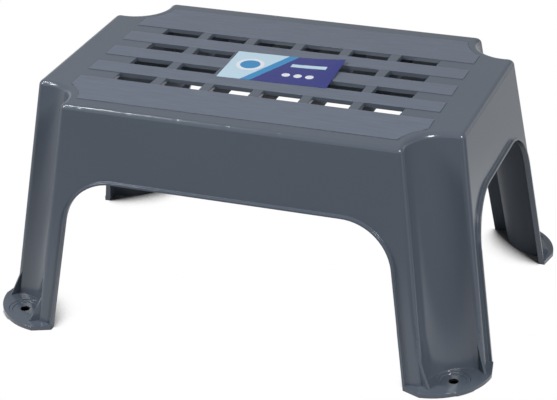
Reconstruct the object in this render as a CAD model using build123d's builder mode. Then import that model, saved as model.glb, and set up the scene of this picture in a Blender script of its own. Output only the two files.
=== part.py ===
"""Caravan entry step: one hollow moulding on four splayed, fluted legs, with a paper label on its tread."""

import os
from math import cos, radians, sin, sqrt

from build123d import *

# Body, in millimetres: the walls splay straight from the deck down to the floor
tread_length = 426.5
tread_depth = 275.5
base_length = 490.0
base_depth = 336.0
deck_height = 229.5
wall_thickness = 2.5
deck_thickness = 3.9
deck_edge_radius = 4.5
deck_edge_steps = 5

# Concave flutes that hollow the four corners
flute_radius_deck = 34.0
flute_radius_base = 42.0
flute_inset_deck = 11.0
flute_inset_base = 4.5
flute_edge_radius = 6.0

# Arches between the legs, and the lip that stands out around their edges
arch_corner_radius = 50.0
front_arch_base_width = 360.0
front_arch_top_width = 315.0
front_arch_height = 157.5
end_arch_base_width = 207.0
end_arch_top_width = 176.0
end_arch_height = 161.0
lip_projection = 3.2
lip_thickness = 2.4

# Tread: a raised field with rows of slots, which parts into strips beyond the ends of each row
strip_rise = 0.5
strip_field_length = 357.0
strip_field_depth = 240.0
strip_flute_margin = 10.0
slot_columns = 6
slot_rows = 4
slot_length = 40.0
slot_width = 17.0
slot_pitch_x = 50.0
slot_pitch_y = 40.0

# Stiffening ribs under the deck
rib_thickness = 2.5
rib_depth = 24.0

# Feet: a flange round each leg, with a screw hole in a recess of two shallow steps
pad_radius = 62.0
pad_reach_end = 8.0
pad_reach_front = 11.5
pad_thickness = 4.5
pad_tab_reach = 3.5
pad_cut_angle = 7.0
screw_inset_end = 23.5
screw_inset_front = 22.5
screw_hole_radius = 4.5
recess_radius = 16.0
recess_depth = 0.9
well_radius = 12.5
well_depth = 1.8

# Gussets: fins that brace each flute edge to its foot, turned outward from the wall
gusset_reach = 9.0
gusset_root = 4.0
gusset_setback = 3.0
gusset_height = 32.0
gusset_thickness = 2.5
gusset_turn_front = 30.0
gusset_turn_end = 45.0

# Paper label lying on the strips
label_length = 111.0
label_depth = 65.0
label_thickness = 0.3
label_offset_x = 4.0
label_offset_y = 0.5
label_turn = 1.5


def at_height(base_size, deck_size, height):
    """A size that runs straight from its floor value to its deck value."""
    return base_size + (deck_size - base_size) * height / deck_height


def body_length(height):
    return at_height(base_length, tread_length, height)


def body_depth(height):
    return at_height(base_depth, tread_depth, height)


def flute_inset(height):
    """How far a flute's axis lies in from both of its walls."""
    return at_height(flute_inset_base, flute_inset_deck, height)


def flute_radius(height):
    return at_height(flute_radius_base, flute_radius_deck, height)


def flute_cut(height):
    """How much of each wall, measured from the corner, a flute takes away."""
    return flute_inset(height) + sqrt(flute_radius(height) ** 2 - flute_inset(height) ** 2)


def fluted_section(height, inset):
    """Plan outline of the body at a height, set in from the outer face."""
    axis_spacing_x = body_length(height) - 2 * flute_inset(height)
    axis_spacing_y = body_depth(height) - 2 * flute_inset(height)
    with BuildSketch(Plane.XY.offset(height)) as section:
        Rectangle(body_length(height) - 2 * inset, body_depth(height) - 2 * inset)
        with GridLocations(axis_spacing_x, axis_spacing_y, 2, 2):
            Circle(flute_radius(height) + inset, mode=Mode.SUBTRACT)
        fillet(section.vertices(), flute_edge_radius - inset)
    return section.sketch


def plain_block(inset):
    """Floor and deck outlines of the splayed block without its flutes, for a loft."""
    outlines = []
    for height in (0, deck_height):
        with BuildSketch(Plane.XY.offset(height)) as outline:
            Rectangle(body_length(height) - 2 * inset, body_depth(height) - 2 * inset)
        outlines.append(outline.sketch)
    return outlines


def arch(plane, base_width, top_width, height, growth):
    """Outline of one arch on an upright plane, grown outward where the lip needs it."""
    with BuildSketch(plane) as opening:
        with BuildLine():
            Polyline(
                (-base_width / 2, 0),
                (-top_width / 2, height),
                (top_width / 2, height),
                (base_width / 2, 0),
                close=True,
            )
        make_face()
        fillet(opening.vertices().group_by(Axis.Y)[-1], arch_corner_radius)
        if growth > 0:
            offset(amount=growth, kind=Kind.INTERSECTION)
    return opening.sketch


def front_arch(growth):
    return arch(Plane.XZ, front_arch_base_width, front_arch_top_width, front_arch_height, growth)


def end_arch(growth):
    return arch(Plane.YZ, end_arch_base_width, end_arch_top_width, end_arch_height, growth)


underside = deck_height - deck_thickness
strip_top = deck_height + strip_rise
slot_row_length = (slot_columns - 1) * slot_pitch_x + slot_length
groove_length = (strip_field_length - slot_row_length) / 2

# Lip blanks: both arches, filled, standing out from the walls all round
with BuildPart() as front_lips:
    extrude(front_arch(lip_thickness), amount=base_depth, both=True)
    loft(plain_block(-lip_projection), ruled=True, mode=Mode.INTERSECT)

with BuildPart() as end_lips:
    extrude(end_arch(lip_thickness), amount=base_length, both=True)
    loft(plain_block(-lip_projection), ruled=True, mode=Mode.INTERSECT)

# Feet: one corner flange drawn from its two tabs and its round edge, then mirrored
pad_axis_x = base_length / 2 + pad_reach_end - pad_radius
pad_axis_y = base_depth / 2 + pad_reach_front - pad_radius
tab_face_x = base_length / 2 + pad_tab_reach
tab_face_y = base_depth / 2 + pad_tab_reach
rim_sweep = 90 - 2 * pad_cut_angle

with BuildPart() as feet:
    with BuildSketch() as flange:
        with BuildLine():
            rim = CenterArc((pad_axis_x, pad_axis_y), pad_radius, pad_cut_angle, rim_sweep)
            Polyline(
                rim @ 0,
                (tab_face_x, end_arch_base_width / 2),
                (front_arch_base_width / 2, end_arch_base_width / 2),
                (front_arch_base_width / 2, tab_face_y),
                rim @ 1,
            )
        make_face()
        mirror(about=Plane.YZ)
        mirror(about=Plane.XZ)
    extrude(amount=pad_thickness)

# Gussets: one upright fin on each edge of a corner's flute, then mirrored to all four corners
gusset_top = pad_thickness + gusset_height
wall_lean_x = (body_length(0) - body_length(gusset_top)) / 2
wall_lean_y = (body_depth(0) - body_depth(gusset_top)) / 2
cut_change = flute_cut(0) - flute_cut(gusset_top)
front_turn = radians(gusset_turn_front)
end_turn = radians(gusset_turn_end)


def fin(foot, direction, lean):
    """One fin, from its foot on the flute edge, its direction in plan and how far the edge leans back."""
    with BuildPart() as plate:
        with BuildSketch(Plane(foot, x_dir=direction, z_dir=(direction[1], -direction[0], 0))):
            with BuildLine():
                Polyline(
                    (-gusset_root, 0),
                    (gusset_reach, 0),
                    (-lean - gusset_root, gusset_top),
                    close=True,
                )
            make_face()
        extrude(amount=gusset_thickness / 2, both=True)
    return plate.part


with BuildPart() as gussets:
    add(
        fin(
            (base_length / 2 - flute_cut(0), base_depth / 2 - gusset_setback, 0),
            (cos(front_turn), sin(front_turn), 0),
            (wall_lean_x - cut_change) * cos(front_turn) + wall_lean_y * sin(front_turn),
        )
    )
    add(
        fin(
            (base_length / 2 - gusset_setback, base_depth / 2 - flute_cut(0), 0),
            (sin(end_turn), cos(end_turn), 0),
            (wall_lean_y - cut_change) * cos(end_turn) + wall_lean_x * sin(end_turn),
        )
    )
    mirror(about=Plane.YZ)
    mirror(about=Plane.XZ)

# Ribs: one under each bridge between slots, and one along the middle strip
with BuildPart() as ribs:
    with BuildSketch(Plane.XY.offset(underside - rib_depth)):
        with GridLocations(slot_pitch_x, slot_pitch_y, slot_columns - 1, 1):
            Rectangle(rib_thickness, base_depth)
        Rectangle(base_length, rib_thickness)
    extrude(amount=rib_depth + deck_thickness / 2)
    loft(plain_block(wall_thickness / 2), ruled=True, mode=Mode.INTERSECT)

# Outer block: straight walls in two bands, then sections that draw in along the deck edge's quarter round
outline_sections = [fluted_section(0, 0), fluted_section(2 * gusset_height, 0)]
for step in range(deck_edge_steps + 1):
    turn = radians(90 * step / deck_edge_steps)
    edge_height = deck_height - deck_edge_radius * (1 - sin(turn))
    outline_sections.append(fluted_section(edge_height, deck_edge_radius * (1 - cos(turn))))

with BuildPart() as body:
    loft(outline_sections, ruled=True)
    add(front_lips.part)
    add(end_lips.part)
    add(feet.part)
    add(gussets.part)
    cavity = [fluted_section(0, wall_thickness), fluted_section(underside, wall_thickness)]
    loft(cavity, ruled=True, mode=Mode.SUBTRACT)
    extrude(front_arch(0), amount=base_depth, both=True, mode=Mode.SUBTRACT)
    extrude(end_arch(0), amount=base_length, both=True, mode=Mode.SUBTRACT)
    add(ribs.part)
    # Raised strips: a field that clears the flutes, with a groove beyond each end of a row of slots
    with BuildSketch(Plane.XY.offset(deck_height)):
        Rectangle(strip_field_length, strip_field_depth)
        with GridLocations(
            tread_length - 2 * flute_inset_deck, tread_depth - 2 * flute_inset_deck, 2, 2
        ):
            Circle(flute_radius_deck + strip_flute_margin, mode=Mode.SUBTRACT)
        with GridLocations(slot_row_length + groove_length, slot_pitch_y, 2, slot_rows):
            Rectangle(groove_length, slot_width, mode=Mode.SUBTRACT)
    extrude(amount=strip_rise)
    # Slots through the field and the deck, side by side in rows
    with BuildSketch(Plane.XY.offset(strip_top)):
        with GridLocations(slot_pitch_x, slot_pitch_y, slot_columns, slot_rows):
            Rectangle(slot_length, slot_width)
    extrude(amount=-strip_rise - deck_thickness, mode=Mode.SUBTRACT)
    # Screw holes, each in the middle of its stepped round recess
    with Locations((0, 0, pad_thickness)):
        with GridLocations(
            base_length - 2 * screw_inset_end, base_depth - 2 * screw_inset_front, 2, 2
        ):
            CounterBoreHole(screw_hole_radius, recess_radius, recess_depth, pad_thickness)
            CounterBoreHole(screw_hole_radius, well_radius, well_depth, pad_thickness)

with BuildPart() as label:
    with BuildSketch(Plane.XY.offset(strip_top)):
        with Locations((label_offset_x, label_offset_y)):
            Rectangle(label_length, label_depth, rotation=label_turn)
    extrude(amount=label_thickness)

os.makedirs("parts", exist_ok=True)
body.part.label = "step_body"
export_step(body.part, "parts/step_body.step")
label.part.label = "paper_label"
export_step(label.part, "parts/paper_label.step")
print("step body", round(body.part.volume), "mm3")
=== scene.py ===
# %% [markdown]
# # A caravan entry step
# A low step that stands outside a caravan door. It is one hollow plastic moulding: a slotted tread
# on four splayed legs, with a concave flute down each corner and an arch between each pair of legs.
# A printed paper label lies on it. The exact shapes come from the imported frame, in metres, with the
# floor at z = 0. This lesson gives them soft edges, finishes, light and a camera.

# %% Load the frame and keep its box
from math import cos, hypot, radians, sin

import bmesh
import bpy
from mathutils import Matrix, Vector


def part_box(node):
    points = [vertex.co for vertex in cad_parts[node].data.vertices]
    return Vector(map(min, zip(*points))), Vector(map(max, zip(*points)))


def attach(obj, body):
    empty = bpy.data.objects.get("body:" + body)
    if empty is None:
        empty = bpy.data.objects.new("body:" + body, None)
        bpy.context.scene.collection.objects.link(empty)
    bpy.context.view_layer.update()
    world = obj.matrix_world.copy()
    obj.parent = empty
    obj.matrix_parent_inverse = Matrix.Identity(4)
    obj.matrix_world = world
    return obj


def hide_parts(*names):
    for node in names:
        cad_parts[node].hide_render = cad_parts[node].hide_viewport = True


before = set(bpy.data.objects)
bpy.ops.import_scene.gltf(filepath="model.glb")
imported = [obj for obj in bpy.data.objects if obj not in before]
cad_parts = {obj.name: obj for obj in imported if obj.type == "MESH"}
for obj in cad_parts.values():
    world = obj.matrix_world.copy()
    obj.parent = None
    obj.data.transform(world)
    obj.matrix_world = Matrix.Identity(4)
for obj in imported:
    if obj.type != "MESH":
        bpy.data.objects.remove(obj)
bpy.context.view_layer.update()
scene = bpy.context.scene
scene.view_settings.view_transform = "Standard"
print("frame nodes:", sorted(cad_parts))

# %% [markdown]
# ## Camera
# The picture was taken from the front and a little to the right, looking down at the tread. A camera
# can be placed by eye, but here its angles, distance and focal length were worked out from the rows
# of slots, whose spacing is even. The camera turns about a point in the middle of the step, then
# slides a little so that the step sits in the frame as it does in the picture. The lens is long, so
# the rows stay nearly parallel.

# %% Place the camera
PICTURE_WIDTH = 557
SENSOR_WIDTH = 36.0
FOCAL_PIXELS = 1946.35
FARTHEST_SEEN = 50.0
CAMERA_AZIMUTH = radians(20.972)
CAMERA_ELEVATION = radians(26.786)
CAMERA_ROLL = radians(-1.637)
CAMERA_DISTANCE = 1.9462
CAMERA_SLIDE_RIGHT = 0.0020
CAMERA_SLIDE_UP = 0.0236
LOOK_POINT = Vector((0, 0, 0.1138))

back = Vector((
    sin(CAMERA_AZIMUTH) * cos(CAMERA_ELEVATION),
    -cos(CAMERA_AZIMUTH) * cos(CAMERA_ELEVATION),
    sin(CAMERA_ELEVATION),
))
level_right = Vector((cos(CAMERA_AZIMUTH), sin(CAMERA_AZIMUTH), 0))
level_up = back.cross(level_right)
right = cos(CAMERA_ROLL) * level_right + sin(CAMERA_ROLL) * level_up
up = cos(CAMERA_ROLL) * level_up - sin(CAMERA_ROLL) * level_right
slide = CAMERA_SLIDE_RIGHT * right + CAMERA_SLIDE_UP * up
camera_place = LOOK_POINT - slide + CAMERA_DISTANCE * back

camera_data = bpy.data.cameras.new("picture_camera")
camera_data.sensor_fit = "HORIZONTAL"
camera_data.sensor_width = SENSOR_WIDTH
camera_data.lens = FOCAL_PIXELS * SENSOR_WIDTH / PICTURE_WIDTH
camera_data.clip_end = FARTHEST_SEEN
camera = bpy.data.objects.new("picture_camera", camera_data)
scene.collection.objects.link(camera)
turn = Matrix((right, up, back)).transposed().to_4x4()
camera.matrix_world = Matrix.Translation(camera_place) @ turn
scene.camera = camera
print("camera at", [round(v, 3) for v in camera_place], "lens", round(camera_data.lens, 1), "mm")

# %% [markdown]
# ## Node helpers
# Every finish below is a tree of shader nodes. A tree can be drawn by hand in the Shader Editor, but
# a script can be read and run again. Each node then takes several lines, and four helpers take those
# up. One adds a node and fills its inputs, with plain values or with links from other nodes. One
# gives the result of a Math node, one multiplies several values, and one carries a value from one
# range to another.


# %% Helpers for shader trees
def add_node(tree, kind, values=None, **settings):
    """A node with its settings, and with values or links put into its inputs by name or number."""
    node = tree.nodes.new(kind)
    for key, setting in settings.items():
        setattr(node, key, setting)
    for key, value in (values or {}).items():
        if isinstance(value, bpy.types.NodeSocket):
            tree.links.new(value, node.inputs[key])
        else:
            node.inputs[key].default_value = value
    return node


def calc(tree, operation, first, second=0.0):
    """The result of one Math node."""
    values = {0: first, 1: second}
    return add_node(tree, "ShaderNodeMath", values, operation=operation).outputs[0]


def product(tree, first, *others):
    """Several values multiplied together."""
    for other in others:
        first = calc(tree, "MULTIPLY", first, other)
    return first


def map_range(tree, value, start, end, first=0.0, last=1.0, easing="LINEAR"):
    """A value carried from one range to another and held at the ends."""
    values = {"Value": value, "From Min": start, "From Max": end, "To Min": first, "To Max": last}
    return add_node(tree, "ShaderNodeMapRange", values, interpolation_type=easing).outputs[0]


helpers = (add_node, calc, product, map_range)
print("helpers for shader trees:", [helper.__name__ for helper in helpers])

# %% [markdown]
# ## Studio
# The step stands in a plain white studio: white walls, a dimmer ceiling, a pale floor and soft lamps.
# A white world alone would give the background, but it would light the plastic from all sides and
# make it look flat. So the world asks which kind of ray has reached it. The camera sees plain white.
# Reflections see white walls low down and a dim ceiling above, and that difference is what makes the
# plastic look smooth. Only a small part of it lights the step, so that the lamps can shape it.

# %% White surround
WALL_TOP = 0.10
CEILING_START = 0.42
CEILING_SHOW = 0.33
WALL_LIGHT = 0.15
WHITE = (1, 1, 1, 1)

world = bpy.data.worlds.new("studio_surround")
world.use_nodes = True
scene.world = world
tree = world.node_tree
tree.nodes.clear()
path = add_node(tree, "ShaderNodeLightPath").outputs
way = add_node(tree, "ShaderNodeTexCoord").outputs["Generated"]
steepness = add_node(tree, "ShaderNodeSeparateXYZ", {0: way}).outputs["Z"]
room = map_range(tree, steepness, WALL_TOP, CEILING_START, 1.0, CEILING_SHOW, "SMOOTHSTEP")
light = map_range(tree, path["Is Diffuse Ray"], 0.0, 1.0, 1.0, WALL_LIGHT)
seen = calc(tree, "MAXIMUM", path["Is Camera Ray"], path["Is Transmission Ray"])
strength = calc(tree, "MAXIMUM", seen, product(tree, room, light))
surround = add_node(tree, "ShaderNodeBackground", {"Color": WHITE, "Strength": strength})
add_node(tree, "ShaderNodeOutputWorld", {"Surface": surround.outputs[0]})
print("walls at 1, ceiling at", CEILING_SHOW)

# %% [markdown]
# ### Floor
# The step stands on a white sheet that ends some way in front of it and past its right front corner,
# where duller ground begins. A sheet can be lit until it looks white, but that light would brighten
# the step too. So this one is dull paper that only shows as white to the camera and in reflections.
# In reflections it also fades with the distance from the step: a painted falloff of light, like that
# of the light on real paper.


# %% Lay the floor
FLOOR_HALF = 12.0
FLOOR_CORNERS = ((-1, -1, 0), (1, -1, 0), (1, 1, 0), (-1, 1, 0))


def new_material(name):
    """A material with an empty tree, and that tree."""
    material = bpy.data.materials.new(name)
    material.use_nodes = True
    material.node_tree.nodes.clear()
    return material, material.node_tree


floor_mesh = bpy.data.meshes.new("studio_floor")
corners = [Vector(corner) * FLOOR_HALF for corner in FLOOR_CORNERS]
floor_mesh.from_pydata(corners, [], [(0, 1, 2, 3)])
floor = bpy.data.objects.new("studio_floor", floor_mesh)
scene.collection.objects.link(floor)
floor_material, tree = new_material("floor_paper")
floor_mesh.materials.append(floor_material)
print("floor is", 2 * FLOOR_HALF, "m wide")

# %% Find where its white sheet ends
# Where the sheet has gone and where it is whole: along y, and out towards the right front corner
SHEET_FRONT = (-0.75, -0.36)
SHEET_CORNER = (0.56, 0.33)
TO_CORNER = (0.75, -0.66, 0.0)
NEAR_END = 0.38
FAR_START = 0.62
FAR_SHOW = 0.46
MEASURES = ("DISTANCE", "DOT_PRODUCT", "LENGTH")


def vector_calc(tree, operation, first, second=(0, 0, 0)):
    """The result of one Vector Math node: a number where it measures, or else a vector."""
    values = {0: first, 1: second}
    node = add_node(tree, "ShaderNodeVectorMath", values, operation=operation)
    return node.outputs["Value" if operation in MEASURES else "Vector"]


spot = add_node(tree, "ShaderNodeTexCoord").outputs["Object"]
depth = add_node(tree, "ShaderNodeSeparateXYZ", {0: spot}).outputs["Y"]
to_corner = vector_calc(tree, "DOT_PRODUCT", spot, TO_CORNER)
behind_front = map_range(tree, depth, *SHEET_FRONT, easing="SMOOTHSTEP")
within_corner = map_range(tree, to_corner, *SHEET_CORNER, easing="SMOOTHSTEP")
sheet = product(tree, behind_front, within_corner)
from_middle = vector_calc(tree, "LENGTH", spot)
# Painted falloff of light: the floor's white in reflections fades away from the step
near = map_range(tree, from_middle, NEAR_END, FAR_START, 1.0, FAR_SHOW, "SMOOTHSTEP")
print("white sheet ends at y =", SHEET_FRONT[0])

# %% [markdown]
# A floor that shows as plain white loses its shadows, so shade is painted into it. The Ambient
# Occlusion node tells how much of the room each place on the floor can see, and that sets the painted
# shade: it dims the floor under the tread in reflections, and it darkens the paper inside the corners
# of the legs. That painted contact shade is kept to the ground that the step stands on. Under each
# screw hole the ground is painted dark too, as shade in a deep hole.

# %% Find where the step closes the floor in
SCREW_SPOT = (0.2215, 0.1455, 0.0)
SCREW_SHADE_RADIUS = 0.008
STANDS_ON = (0.243, 0.166, 0.0)
OCCLUSION_SAMPLES = 16
# Reach in metres, then the shares of the room in view at which the floor is dark and is clear
UNDER_TREAD = (0.4, 0.25, 0.60)
INSIDE_LEGS = (0.08, 0.42, 0.70)


def open_to_room(reach, closed, clear):
    """1 where little stands over the floor within a reach, 0 where it is closed in."""
    occlusion = add_node(
        tree, "ShaderNodeAmbientOcclusion", {"Distance": reach}, samples=OCCLUSION_SAMPLES
    )
    return map_range(tree, occlusion.outputs["AO"], closed, clear, easing="SMOOTHSTEP")


quarter = vector_calc(tree, "ABSOLUTE", spot)
from_hole = vector_calc(tree, "DISTANCE", quarter, SCREW_SPOT)
# Painted shade: the ground under each screw hole is made dark, in the glow and in the paper colour
outside_hole_shade = calc(tree, "GREATER_THAN", from_hole, SCREW_SHADE_RADIUS)
inward = vector_calc(tree, "SUBTRACT", STANDS_ON, quarter)
inward = add_node(tree, "ShaderNodeSeparateXYZ", {0: inward}).outputs
under_step = calc(tree, "GREATER_THAN", calc(tree, "MINIMUM", inward["X"], inward["Y"]), 0.0)
# Painted contact shade: the floor inside the legs is darkened where little of the room is in view
closed_in = calc(tree, "SUBTRACT", 1.0, open_to_room(*INSIDE_LEGS))
unshaded = calc(tree, "SUBTRACT", 1.0, product(tree, under_step, closed_in))
print("floor shade:", len(tree.nodes), "nodes")

# %% [markdown]
# The floor then mixes dull paper with an even white glow. The glow is taken by camera rays and by the
# part of the reflections worked out above, and all other rays meet the paper. Seen from below, the
# floor is clear, so that the underside of the step can be looked at.

# %% Mix the paper with white
SHEET_SHADE = 0.28
GROUND_SHADE = 0.15
GLOW = 1.0

path = add_node(tree, "ShaderNodeLightPath").outputs
seen = calc(tree, "MAXIMUM", path["Is Camera Ray"], path["Is Transmission Ray"])
# Painted shade and falloff in reflections: the floor's white is dimmed under the tread and away from
# the step
mirrored = product(tree, path["Is Glossy Ray"], sheet, open_to_room(*UNDER_TREAD), near)
white_share = product(tree, calc(tree, "MAXIMUM", seen, mirrored), outside_hole_shade, unshaded)
paper_shade = map_range(tree, sheet, 0.0, 1.0, GROUND_SHADE, SHEET_SHADE)
matte = add_node(tree, "ShaderNodeBsdfDiffuse", {"Color": product(tree, paper_shade, outside_hole_shade)})
glow = add_node(tree, "ShaderNodeEmission", {"Color": WHITE, "Strength": GLOW})
layers = {0: white_share, 1: matte.outputs[0], 2: glow.outputs[0]}
above = add_node(tree, "ShaderNodeMixShader", layers)
below = add_node(tree, "ShaderNodeBsdfTransparent")
from_below = add_node(tree, "ShaderNodeNewGeometry").outputs["Backfacing"]
sides = {0: from_below, 1: above.outputs[0], 2: below.outputs[0]}
both_sides = add_node(tree, "ShaderNodeMixShader", sides)
add_node(tree, "ShaderNodeOutputMaterial", {"Surface": both_sides.outputs[0]})
print("floor paper:", len(tree.nodes), "nodes")

# %% [markdown]
# ### Lamps
# Four soft boxes light the step. A small one hangs high on the left, so that its reflection runs as a
# thin line along the front edge of the tread. Two broad ones stand at the front left and the front
# right. A low one behind lights the back, and it is kept out of reflections, where it would put white
# spots on edges that are seen from the front. Point lamps would be simpler, but they give hard
# shadows and pinprick highlights.

# %% Soft boxes
# Name, place, width and height in metres, and power in watts
LAMPS = (
    ("soft_box_high", (-0.84, -0.30, 1.65), 0.16, 0.30, 6.0),
    ("soft_box_left", (-1.50, -1.05, 1.65), 0.7, 0.7, 31.0),
    ("soft_box_right", (1.50, -1.05, 1.65), 0.6, 0.6, 37.0),
    ("soft_box_back", (-0.90, 1.80, 0.30), 1.0, 0.4, 16.0),
)
NOT_MIRRORED = "soft_box_back"

for name, lamp_place, width, height, power in LAMPS:
    lamp = bpy.data.lights.new(name, "AREA")
    lamp.shape = "RECTANGLE"
    lamp.size = width
    lamp.size_y = height
    lamp.energy = power
    box = bpy.data.objects.new(name, lamp)
    box.location = lamp_place
    box.rotation_euler = (LOOK_POINT - Vector(lamp_place)).to_track_quat("-Z", "Y").to_euler()
    box.visible_glossy = name != NOT_MIRRORED
    scene.collection.objects.link(box)

# %% [markdown]
# ## Moulded plastic
# The body is blue-grey polypropylene. It is satin where the mould was polished, and matte on the
# raised strips of the tread, where the mould was grained for grip. The bridges between the slots stay
# smooth. Each finish could be a material of its own, given to its own faces, but a moulding is one
# piece of one plastic. So there is one material, and tests on Object coordinates tell its finishes
# apart: the strips lie above the deck, and either beside a row of slots or beyond all the rows.


# %% Tell the strips from the smooth plastic
STRIP_LEVEL = 0.2296
ROW_PITCH = 0.040
ROW_HALF_WIDTH = 0.0085
ROWS_REACH = 0.070
ROW_SHIFT = 0.5


def off_line(tree, place, pitch, shift=0.0):
    """How far a place lies from the nearest of many evenly spaced lines."""
    steps = calc(tree, "SUBTRACT", calc(tree, "DIVIDE", place, pitch), shift)
    off = calc(tree, "ABSOLUTE", calc(tree, "SUBTRACT", steps, calc(tree, "ROUND", steps)))
    return product(tree, off, pitch)


plastic, tree = new_material("grey_moulded_plastic")
place_in_step = add_node(tree, "ShaderNodeTexCoord").outputs["Object"]
axes = add_node(tree, "ShaderNodeSeparateXYZ", {0: place_in_step}).outputs
above_deck = calc(tree, "GREATER_THAN", axes["Z"], STRIP_LEVEL)
off_row = off_line(tree, axes["Y"], ROW_PITCH, ROW_SHIFT)
beside_row = calc(tree, "GREATER_THAN", off_row, ROW_HALF_WIDTH)
beyond_rows = calc(tree, "GREATER_THAN", calc(tree, "ABSOLUTE", axes["Y"]), ROWS_REACH)
on_strip = product(tree, above_deck, calc(tree, "MAXIMUM", beside_row, beyond_rows))
print("strips lie above", STRIP_LEVEL, "m")

# %% [markdown]
# Plastic is never quite one colour. Large soft noise shifts the smooth parts a little, as uneven
# cooling does. On the strips, noise that is drawn out along the length gives fine grain and broader
# streaks. A picture of real grain could be wrapped round the step, but noise has no seams and stays
# sharp close up. The walls of the screw holes are painted nearly black: painted shade, as narrow
# deep holes look dark.


# %% Noise in the plastic
# How fine each noise is along x, y and z
CLOUD_SCALE = (9, 9, 9)
CLOUD_DETAIL = 3.0
GRAIN_SCALE = (90, 1400, 400)
STREAK_SCALE = (28, 420, 100)
STREAK_RANGE = (0.3, 0.7)


def noise(tree, place, scale, detail=2.0):
    """A noise texture that can be finer along some axes than along others."""
    drawn = add_node(tree, "ShaderNodeMapping", {"Vector": place, "Scale": scale}).outputs[0]
    values = {"Vector": drawn, "Scale": 1.0, "Detail": detail}
    return add_node(tree, "ShaderNodeTexNoise", values).outputs["Fac"]


cloud = noise(tree, place_in_step, CLOUD_SCALE, CLOUD_DETAIL)
grain = noise(tree, place_in_step, GRAIN_SCALE)
streak = map_range(tree, noise(tree, place_in_step, STREAK_SCALE), *STREAK_RANGE)
print("plastic noise:", len(tree.nodes), "nodes")

# %% Plastic colours
SMOOTH_COLOURS = ((0.086, 0.105, 0.135, 1), (0.094, 0.114, 0.146, 1))
STRIP_COLOURS = ((0.098, 0.118, 0.156, 1), (0.130, 0.153, 0.202, 1))
GRAIN_COLOUR = (0.126, 0.147, 0.192, 1)
GRAIN_SHARE = 0.5
HOLE_PAINTED_SHADE = (0.012, 0.012, 0.014, 1)
HOLE_SHADE_RADIUS = 0.0048
FLATTEN = (1, 1, 0)


def blend(tree, share, first, second):
    """A colour between two others."""
    values = {0: share, 6: first, 7: second}
    return add_node(tree, "ShaderNodeMix", values, data_type="RGBA").outputs[2]


smooth_colour = blend(tree, cloud, *SMOOTH_COLOURS)
strip_colour = blend(tree, streak, *STRIP_COLOURS)
strip_colour = blend(tree, product(tree, grain, GRAIN_SHARE), strip_colour, GRAIN_COLOUR)
colour = blend(tree, on_strip, smooth_colour, strip_colour)
quarter = vector_calc(tree, "ABSOLUTE", place_in_step)
in_plan = vector_calc(tree, "MULTIPLY", quarter, FLATTEN)
from_hole = vector_calc(tree, "DISTANCE", in_plan, SCREW_SPOT)
# Painted shade: the walls of the screw holes are coloured nearly black, as deep holes look dark
colour = blend(tree, calc(tree, "LESS_THAN", from_hole, HOLE_SHADE_RADIUS), colour, HOLE_PAINTED_SHADE)
print("plastic colours:", len(tree.nodes), "nodes")

# %% [markdown]
# The outside is satin, a little glossier in some places than in others, and the strips are duller.
# The inside faced the core of the mould, which is seldom polished, so it is dullest. No single test
# on the coordinates tells the inside, so the body's mesh carries it as an attribute, which a later
# cell writes and the Attribute node reads.

# %% Plastic gloss
SMOOTH_ROUGHNESS = (0.13, 0.21)
STRIP_ROUGHNESS = 0.50
CORE_ROUGHNESS = 0.62
CORE_SIDE = "core_side"

core_side = add_node(tree, "ShaderNodeAttribute", attribute_name=CORE_SIDE).outputs["Fac"]
rough = map_range(tree, cloud, 0.0, 1.0, *SMOOTH_ROUGHNESS)
for share, duller in ((on_strip, STRIP_ROUGHNESS), (core_side, CORE_ROUGHNESS)):
    rough = add_node(tree, "ShaderNodeMix", {0: share, 2: rough, 3: duller}).outputs[0]
print("roughness from", SMOOTH_ROUGHNESS[0], "outside to", CORE_ROUGHNESS, "inside")

# %% [markdown]
# Where a rib meets the inside of a wall, the plastic is thicker, cools last and pulls the outer face
# in. These sink marks are only about a tenth of a millimetre deep, so they are bump rather than
# geometry, but they break the line of light along the tread's front edge at every rib. A fine skin
# all over and the grain of the strips are bump for the same reason. Each Bump node hands its result
# on to the next.


# %% Plastic surface
RIB_PITCH = 0.050
RIB_REACH = 0.160
SINK_HALF_WIDTH = 0.005
SINK_FROM = 0.212
SINK_FULL = 0.224
DECK_LEVEL = 0.2294
SKIN_SCALE = (900, 900, 900)
# Strength, and depth in metres
SINK_BUMP = (1.0, 0.00015)
SKIN_BUMP = (0.05, 0.0002)
GRAIN_BUMP = (0.35, 0.0003)


def bump(tree, height, strength, distance, under=None, sunk=False):
    """The direction of a surface that a height raises or sinks, laid over any bump under it."""
    values = {"Strength": strength, "Distance": distance, "Height": height}
    if under is not None:
        values["Normal"] = under
    return add_node(tree, "ShaderNodeBump", values, invert=sunk).outputs[0]


off_rib = off_line(tree, axes["X"], RIB_PITCH)
at_rib = map_range(tree, off_rib, 0.0, SINK_HALF_WIDTH, 1.0, 0.0, "SMOOTHERSTEP")
over_ribs = calc(tree, "LESS_THAN", calc(tree, "ABSOLUTE", axes["X"]), RIB_REACH)
near_edge = map_range(tree, axes["Z"], SINK_FROM, SINK_FULL, easing="SMOOTHSTEP")
below_deck = calc(tree, "LESS_THAN", axes["Z"], DECK_LEVEL)
sink = product(tree, at_rib, over_ribs, product(tree, near_edge, below_deck))
skin = noise(tree, place_in_step, SKIN_SCALE)
surface = bump(tree, sink, *SINK_BUMP, sunk=True)
surface = bump(tree, skin, *SKIN_BUMP, surface)
surface = bump(tree, product(tree, grain, on_strip), *GRAIN_BUMP, surface)
finish = {"Base Color": colour, "Roughness": rough, "Normal": surface}
shader = add_node(tree, "ShaderNodeBsdfPrincipled", finish)
add_node(tree, "ShaderNodeOutputMaterial", {"Surface": shader.outputs[0]})
print("plastic tree:", len(tree.nodes), "nodes")

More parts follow.
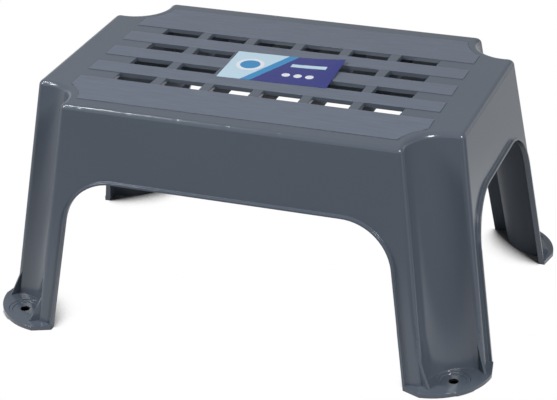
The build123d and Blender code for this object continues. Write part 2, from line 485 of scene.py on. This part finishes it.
# %% [markdown]
# ## Body
# The frame's body is exact, but it is a skin of loose triangles with knife edges, and no moulding has
# those. The edges could be rounded in the solid, where each tiny fillet would cost many faces. Here a
# copy is welded, every sharp edge with room for it gets a bevel weight, and a narrow bevel rounds
# those edges, so that each catches a line of light.

# %% Weld a copy of the body and mark its sharp edges
WELD = 2e-6
SHARP = radians(38)
SHORTEST_ROUNDED = 0.0012

body_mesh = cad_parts["step_body"].data.copy()
body_mesh.name = "moulded_body"
work = bmesh.new()
work.from_mesh(body_mesh)
bmesh.ops.remove_doubles(work, verts=work.verts, dist=WELD)
for face in work.faces:
    face.smooth = True
open_edges = sum(1 for edge in work.edges if not edge.is_manifold)
weight = work.edges.layers.float.new("bevel_weight_edge")
sharp = {edge for edge in work.edges if edge.calc_face_angle(0) > SHARP}
short = {edge for edge in sharp if edge.calc_length() < SHORTEST_ROUNDED}
tight = {vert for edge in short for vert in edge.verts}
for edge in sharp:
    edge[weight] = 0.0 if tight.intersection(edge.verts) else 1.0
rounded = sum(1 for edge in sharp if edge[weight])
work.to_mesh(body_mesh)
work.free()
print("body faces:", len(body_mesh.polygons), "open edges:", open_edges)
print("sharp edges:", len(sharp), "of which rounded:", rounded)

# %% Round its edges
EDGE_ROUND = 0.0005
EDGE_SEGMENTS = 2


def as_plain_mesh(maker):
    """The mesh that an object's modifiers make. The object itself is removed."""
    evaluated = maker.evaluated_get(bpy.context.evaluated_depsgraph_get())
    mesh = bpy.data.meshes.new_from_object(evaluated)
    bpy.data.objects.remove(maker)
    return mesh


body_mesh.materials.clear()
body_mesh.materials.append(plastic)
maker = bpy.data.objects.new("body_maker", body_mesh)
scene.collection.objects.link(maker)
bevel = maker.modifiers.new("soft_edges", "BEVEL")
bevel.width = EDGE_ROUND
bevel.segments = EDGE_SEGMENTS
bevel.limit_method = "WEIGHT"
bevel.use_clamp_overlap = False
bevel.loop_slide = False
soft_mesh = as_plain_mesh(maker)
soft_mesh.name = "moulded_body"
print("body with soft edges:", len(soft_mesh.polygons), "faces")

# %% [markdown]
# Next, the faces of the core side are marked for the plastic. They could be picked by hand, but the
# walls follow a rule: every size runs straight from its value at the floor to its value at the deck.
# So a face lies inside where its middle is more than half a wall in from the end walls, the front and
# back walls and the flutes, and under the deck.

# %% Mark the core side
# Sizes at the floor and at the deck, in metres
HALF_LENGTH = (0.2450, 0.21325)
HALF_DEPTH = (0.1680, 0.13775)
FLUTE_INSET = (0.0045, 0.0110)
FLUTE_RADIUS = (0.0420, 0.0340)
HALF_WALL = 0.00125
UNDERSIDE = 0.2257


def at_height(sizes, height):
    """A size that runs straight from its floor value to its deck value."""
    floor_size, deck_size = sizes
    return floor_size + (deck_size - floor_size) * height / DECK_LEVEL


def on_core_side(point):
    """Whether a place on the skin lies on the inside of the moulding."""
    from_end = at_height(HALF_LENGTH, point.z) - abs(point.x)
    from_front = at_height(HALF_DEPTH, point.z) - abs(point.y)
    inset = at_height(FLUTE_INSET, point.z)
    from_axis = hypot(from_end - inset, from_front - inset)
    from_flute = from_axis - at_height(FLUTE_RADIUS, point.z)
    return point.z < UNDERSIDE and min(from_end, from_front, from_flute) > HALF_WALL


core = soft_mesh.attributes.new(CORE_SIDE, "FLOAT", "FACE")
for polygon in soft_mesh.polygons:
    core.data[polygon.index].value = on_core_side(polygon.center)
print("faces on the core side:", sum(1 for item in core.data if item.value))

# %% [markdown]
# A smooth surface is shaded by a direction at each corner of each face. Left alone, Blender averages
# the faces round a corner, and the flat walls, which are cut into thin triangles, would look dented
# beside every rounded edge. The Weighted Normal modifier counts each triangle by its own size, and a
# thin triangle of a wide wall would still count for little. So the triangles that lie in one plane
# are gathered into patches, and each corner takes the direction of the faces near its own, each
# counted by the size of its whole patch: wide walls stay flat and the rounded edges do the bending.


# %% Shade each corner by the largest patch that meets there
FLAT = radians(0.6)
FOLD = cos(radians(50))


def patch_areas(work):
    """For each face, the area of all the faces that lie in one plane with it."""
    area_of = {}
    for seed in work.faces:
        if seed.index in area_of:
            continue
        patch, front = {seed}, [seed]
        while front:
            face = front.pop()
            for edge in face.edges:
                if edge.is_manifold and edge.calc_face_angle() < FLAT:
                    fresh = [other for other in edge.link_faces if other not in patch]
                    patch.update(fresh)
                    front.extend(fresh)
        area = sum(face.calc_area() for face in patch)
        area_of.update({face.index: area for face in patch})
    return area_of


work = bmesh.new()
work.from_mesh(soft_mesh)
areas = patch_areas(work)
directions = []
for face in work.faces:
    for corner in face.loops:
        total = Vector((0, 0, 0))
        for other in corner.vert.link_faces:
            if other.normal.dot(face.normal) > FOLD:
                total += other.normal * areas[other.index]
        directions.append(total.normalized())
work.free()
soft_mesh.normals_split_custom_set(directions)
body = bpy.data.objects.new("moulded_body", soft_mesh)
scene.collection.objects.link(body)
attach(body, "root")
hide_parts("step_body")
print("corners shaded:", len(directions))

# %% [markdown]
# ## Paper label
# A loose sheet of printed paper lies on the strips, with one corner lifting a little. A cloth
# simulation could bend it, but stiff paper bends in one plain curve, and a grid that is bent by a
# rule is a good use of Geometry Nodes. The tree makes the sheet from named sizes, lifts its right
# back corner, gives it thickness and sets its material.

# %% Tree for the sheet
SHEET_VERTICES = (67, 41)
CURVE_RIGHT = 2.0
CURVE_BACK = 1.3
WELD_SHEET = 1e-6


def sheet_tree():
    """A node group that makes a thin printed sheet with one lifted corner."""
    group = bpy.data.node_groups.new("lifted_sheet", "GeometryNodeTree")
    sockets = group.interface
    sockets.new_socket("Sheet", in_out="OUTPUT", socket_type="NodeSocketGeometry")
    for name in ("Length", "Depth", "Thickness", "Lift"):
        sockets.new_socket(name, in_out="INPUT", socket_type="NodeSocketFloat")
    sockets.new_socket("Paper", in_out="INPUT", socket_type="NodeSocketMaterial")
    given = group.nodes.new("NodeGroupInput").outputs

    columns, rows = SHEET_VERTICES
    spread = {"Size X": given["Length"], "Size Y": given["Depth"]}
    spread.update({"Vertices X": columns, "Vertices Y": rows})
    grid = add_node(group, "GeometryNodeMeshGrid", spread).outputs["Mesh"]
    spot = add_node(group, "GeometryNodeInputPosition").outputs[0]
    spot = add_node(group, "ShaderNodeSeparateXYZ", {0: spot}).outputs
    # From 0 in the middle to 1 at the right edge, and from 0 at the front edge to 1 at the back
    to_right = product(group, calc(group, "DIVIDE", spot["X"], given["Length"]), 2.0)
    to_right = calc(group, "POWER", calc(group, "MAXIMUM", to_right, 0.0), CURVE_RIGHT)
    to_back = calc(group, "ADD", calc(group, "DIVIDE", spot["Y"], given["Depth"]), 0.5)
    to_back = calc(group, "POWER", to_back, CURVE_BACK)
    rise = product(group, to_right, to_back, given["Lift"])
    offset = add_node(group, "ShaderNodeCombineXYZ", {"Z": rise}).outputs[0]
    bending = {"Geometry": grid, "Offset": offset}
    bent = add_node(group, "GeometryNodeSetPosition", bending).outputs[0]

    raising = {"Mesh": bent, "Offset": (0, 0, 1), "Offset Scale": given["Thickness"]}
    raising["Individual"] = False
    top = add_node(group, "GeometryNodeExtrudeMesh", raising).outputs["Mesh"]
    under = add_node(group, "GeometryNodeFlipFaces", {"Mesh": bent}).outputs[0]
    whole = add_node(group, "GeometryNodeJoinGeometry")
    group.links.new(under, whole.inputs[0])
    group.links.new(top, whole.inputs[0])
    welding = {"Geometry": whole.outputs[0], "Distance": WELD_SHEET}
    welded = add_node(group, "GeometryNodeMergeByDistance", welding).outputs[0]
    real = add_node(group, "GeometryNodeRealizeInstances", {"Geometry": welded}).outputs[0]
    printing = {"Geometry": real, "Material": given["Paper"]}
    printed = add_node(group, "GeometryNodeSetMaterial", printing).outputs[0]
    add_node(group, "NodeGroupOutput", {0: printed})
    return group


label_group = sheet_tree()
print("sheet tree:", len(label_group.nodes), "nodes")

# %% [markdown]
# ## Label print
# The print is made of plain fields: a pale panel on the left with a disc in a ring, a deep blue field
# on the right, a slanted band between them, and a stripe over a row of dots. An image could be put on
# the paper, but tests on the place across and along the sheet stay sharp at any size. A Mapping node
# turns Object coordinates into the sheet's own, and each field is laid over the fields before it.


# %% Places on the label
LABEL_LENGTH = 0.111
LABEL_DEPTH = 0.065
LABEL_CENTRE = (0.0040, 0.0005)
LABEL_TURN = radians(1.5)


def between(tree, value, low, high):
    """1 where a value lies between two limits."""
    above_low = calc(tree, "GREATER_THAN", value, low)
    return product(tree, above_low, calc(tree, "LESS_THAN", value, high))


def disc(tree, centre_across, centre_along, radius):
    """1 inside a circle on the label, in metres from its front left corner."""
    far_across = calc(tree, "POWER", calc(tree, "SUBTRACT", across, centre_across), 2.0)
    far_along = calc(tree, "POWER", calc(tree, "SUBTRACT", along, centre_along), 2.0)
    return calc(tree, "LESS_THAN", calc(tree, "ADD", far_across, far_along), radius ** 2)


label_paper, tree = new_material("printed_label_paper")
place_in_step = add_node(tree, "ShaderNodeTexCoord").outputs["Object"]
lying = {"Location": (*LABEL_CENTRE, 0.0), "Rotation": (0, 0, LABEL_TURN)}
on_label = add_node(
    tree, "ShaderNodeMapping", {"Vector": place_in_step, **lying}, vector_type="TEXTURE"
).outputs[0]
axes = add_node(tree, "ShaderNodeSeparateXYZ", {0: on_label}).outputs
across = calc(tree, "ADD", axes["X"], LABEL_LENGTH / 2)
along = calc(tree, "ADD", axes["Y"], LABEL_DEPTH / 2)
print("label is", LABEL_LENGTH, "by", LABEL_DEPTH, "m")

# %% Fields of colour
DEEP_BLUE = (0.018, 0.025, 0.180, 1)
SKY_BLUE = (0.030, 0.230, 0.480, 1)
PALE_BLUE = (0.470, 0.630, 0.740, 1)
PAPER_WHITE = (0.700, 0.730, 0.780, 1)
SLANT = 0.45
DEEP_FIELD_FROM = 0.026
BAND = (0.024, 0.034)
RING_CENTRE = (0.022, 0.036)
RING_RADIUS = 0.014
DISC_RADIUS = 0.010
STRIPE_ACROSS = (0.062, 0.098)
STRIPE_ALONG = (0.040, 0.047)
DOTS_ACROSS = (0.064, 0.076, 0.088)
DOTS_ALONG = 0.020
DOT_RADIUS = 0.0042

slanted = calc(tree, "SUBTRACT", across, product(tree, along, SLANT))
in_deep_field = calc(tree, "GREATER_THAN", slanted, DEEP_FIELD_FROM)
ink = blend(tree, in_deep_field, PALE_BLUE, DEEP_BLUE)
ink = blend(tree, between(tree, slanted, *BAND), ink, SKY_BLUE)
ink = blend(tree, disc(tree, *RING_CENTRE, RING_RADIUS), ink, PAPER_WHITE)
ink = blend(tree, disc(tree, *RING_CENTRE, DISC_RADIUS), ink, SKY_BLUE)
in_stripe = between(tree, along, *STRIPE_ALONG)
in_stripe = product(tree, in_stripe, between(tree, across, *STRIPE_ACROSS))
ink = blend(tree, in_stripe, ink, PALE_BLUE)
for dot in DOTS_ACROSS:
    ink = blend(tree, disc(tree, dot, DOTS_ALONG, DOT_RADIUS), ink, PAPER_WHITE)
print("label print:", len(tree.nodes), "nodes")

# %% [markdown]
# The paper is smooth and coated, with a slight sheen. Fine noise stands for its fibres: it varies the
# ink and the gloss a little and raises the surface by a trace.

# %% Paper finish
FIBRE_SCALE = (700, 700, 700)
FIBRE_DETAIL = 3.0
FIBRE_TINT = (0.92, 1.08)
PAPER_ROUGHNESS = (0.32, 0.48)
FIBRE_BUMP = (0.1, 0.0002)

fibre = noise(tree, place_in_step, FIBRE_SCALE, FIBRE_DETAIL)
tint = map_range(tree, fibre, 0.0, 1.0, *FIBRE_TINT)
tinting = {0: 1.0, 6: ink, 7: tint}
ink = add_node(
    tree, "ShaderNodeMix", tinting, data_type="RGBA", blend_type="MULTIPLY"
).outputs[2]
finish = {
    "Base Color": ink,
    "Roughness": map_range(tree, fibre, 0.0, 1.0, *PAPER_ROUGHNESS),
    "Normal": bump(tree, fibre, *FIBRE_BUMP),
}
shader = add_node(tree, "ShaderNodeBsdfPrincipled", finish)
add_node(tree, "ShaderNodeOutputMaterial", {"Surface": shader.outputs[0]})
print("label paper:", len(tree.nodes), "nodes")

# %% [markdown]
# Now the tree is run. A modifier's inputs are set by each socket's identifier, then the result is
# made a plain mesh. The tree leaves an empty material slot before the paper's, so the slots are made
# anew. The sheet's place and slight turn go into the mesh, not the object, so that the print, which
# reads Object coordinates, stays where it is.

# %% Make the label and lay it on the strips
LABEL_THICKNESS = 0.0003
CORNER_LIFT = 0.003

label_low, label_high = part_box("paper_label")
maker = bpy.data.objects.new("label_maker", bpy.data.meshes.new("label_maker"))
scene.collection.objects.link(maker)
bend = maker.modifiers.new("lifted_sheet", "NODES")
bend.node_group = label_group
sizes = {
    "Length": LABEL_LENGTH,
    "Depth": LABEL_DEPTH,
    "Thickness": LABEL_THICKNESS,
    "Lift": CORNER_LIFT,
    "Paper": label_paper,
}
for item in label_group.interface.items_tree:
    if item.in_out == "INPUT":
        bend[item.identifier] = sizes[item.name]
label_mesh = as_plain_mesh(maker)
label_mesh.name = "paper_sheet"
label_mesh.materials.clear()
label_mesh.materials.append(label_paper)
for polygon in label_mesh.polygons:
    polygon.material_index = 0
laid = Matrix.Translation((*LABEL_CENTRE, label_low.z))
label_mesh.transform(laid @ Matrix.Rotation(LABEL_TURN, 4, "Z"))
label = bpy.data.objects.new("paper_sheet", label_mesh)
scene.collection.objects.link(label)
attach(label, "root")
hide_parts("paper_label")
print("label faces:", len(label_mesh.polygons))
print("frame's label is", round(label_high.z - label_low.z, 4), "m thick")
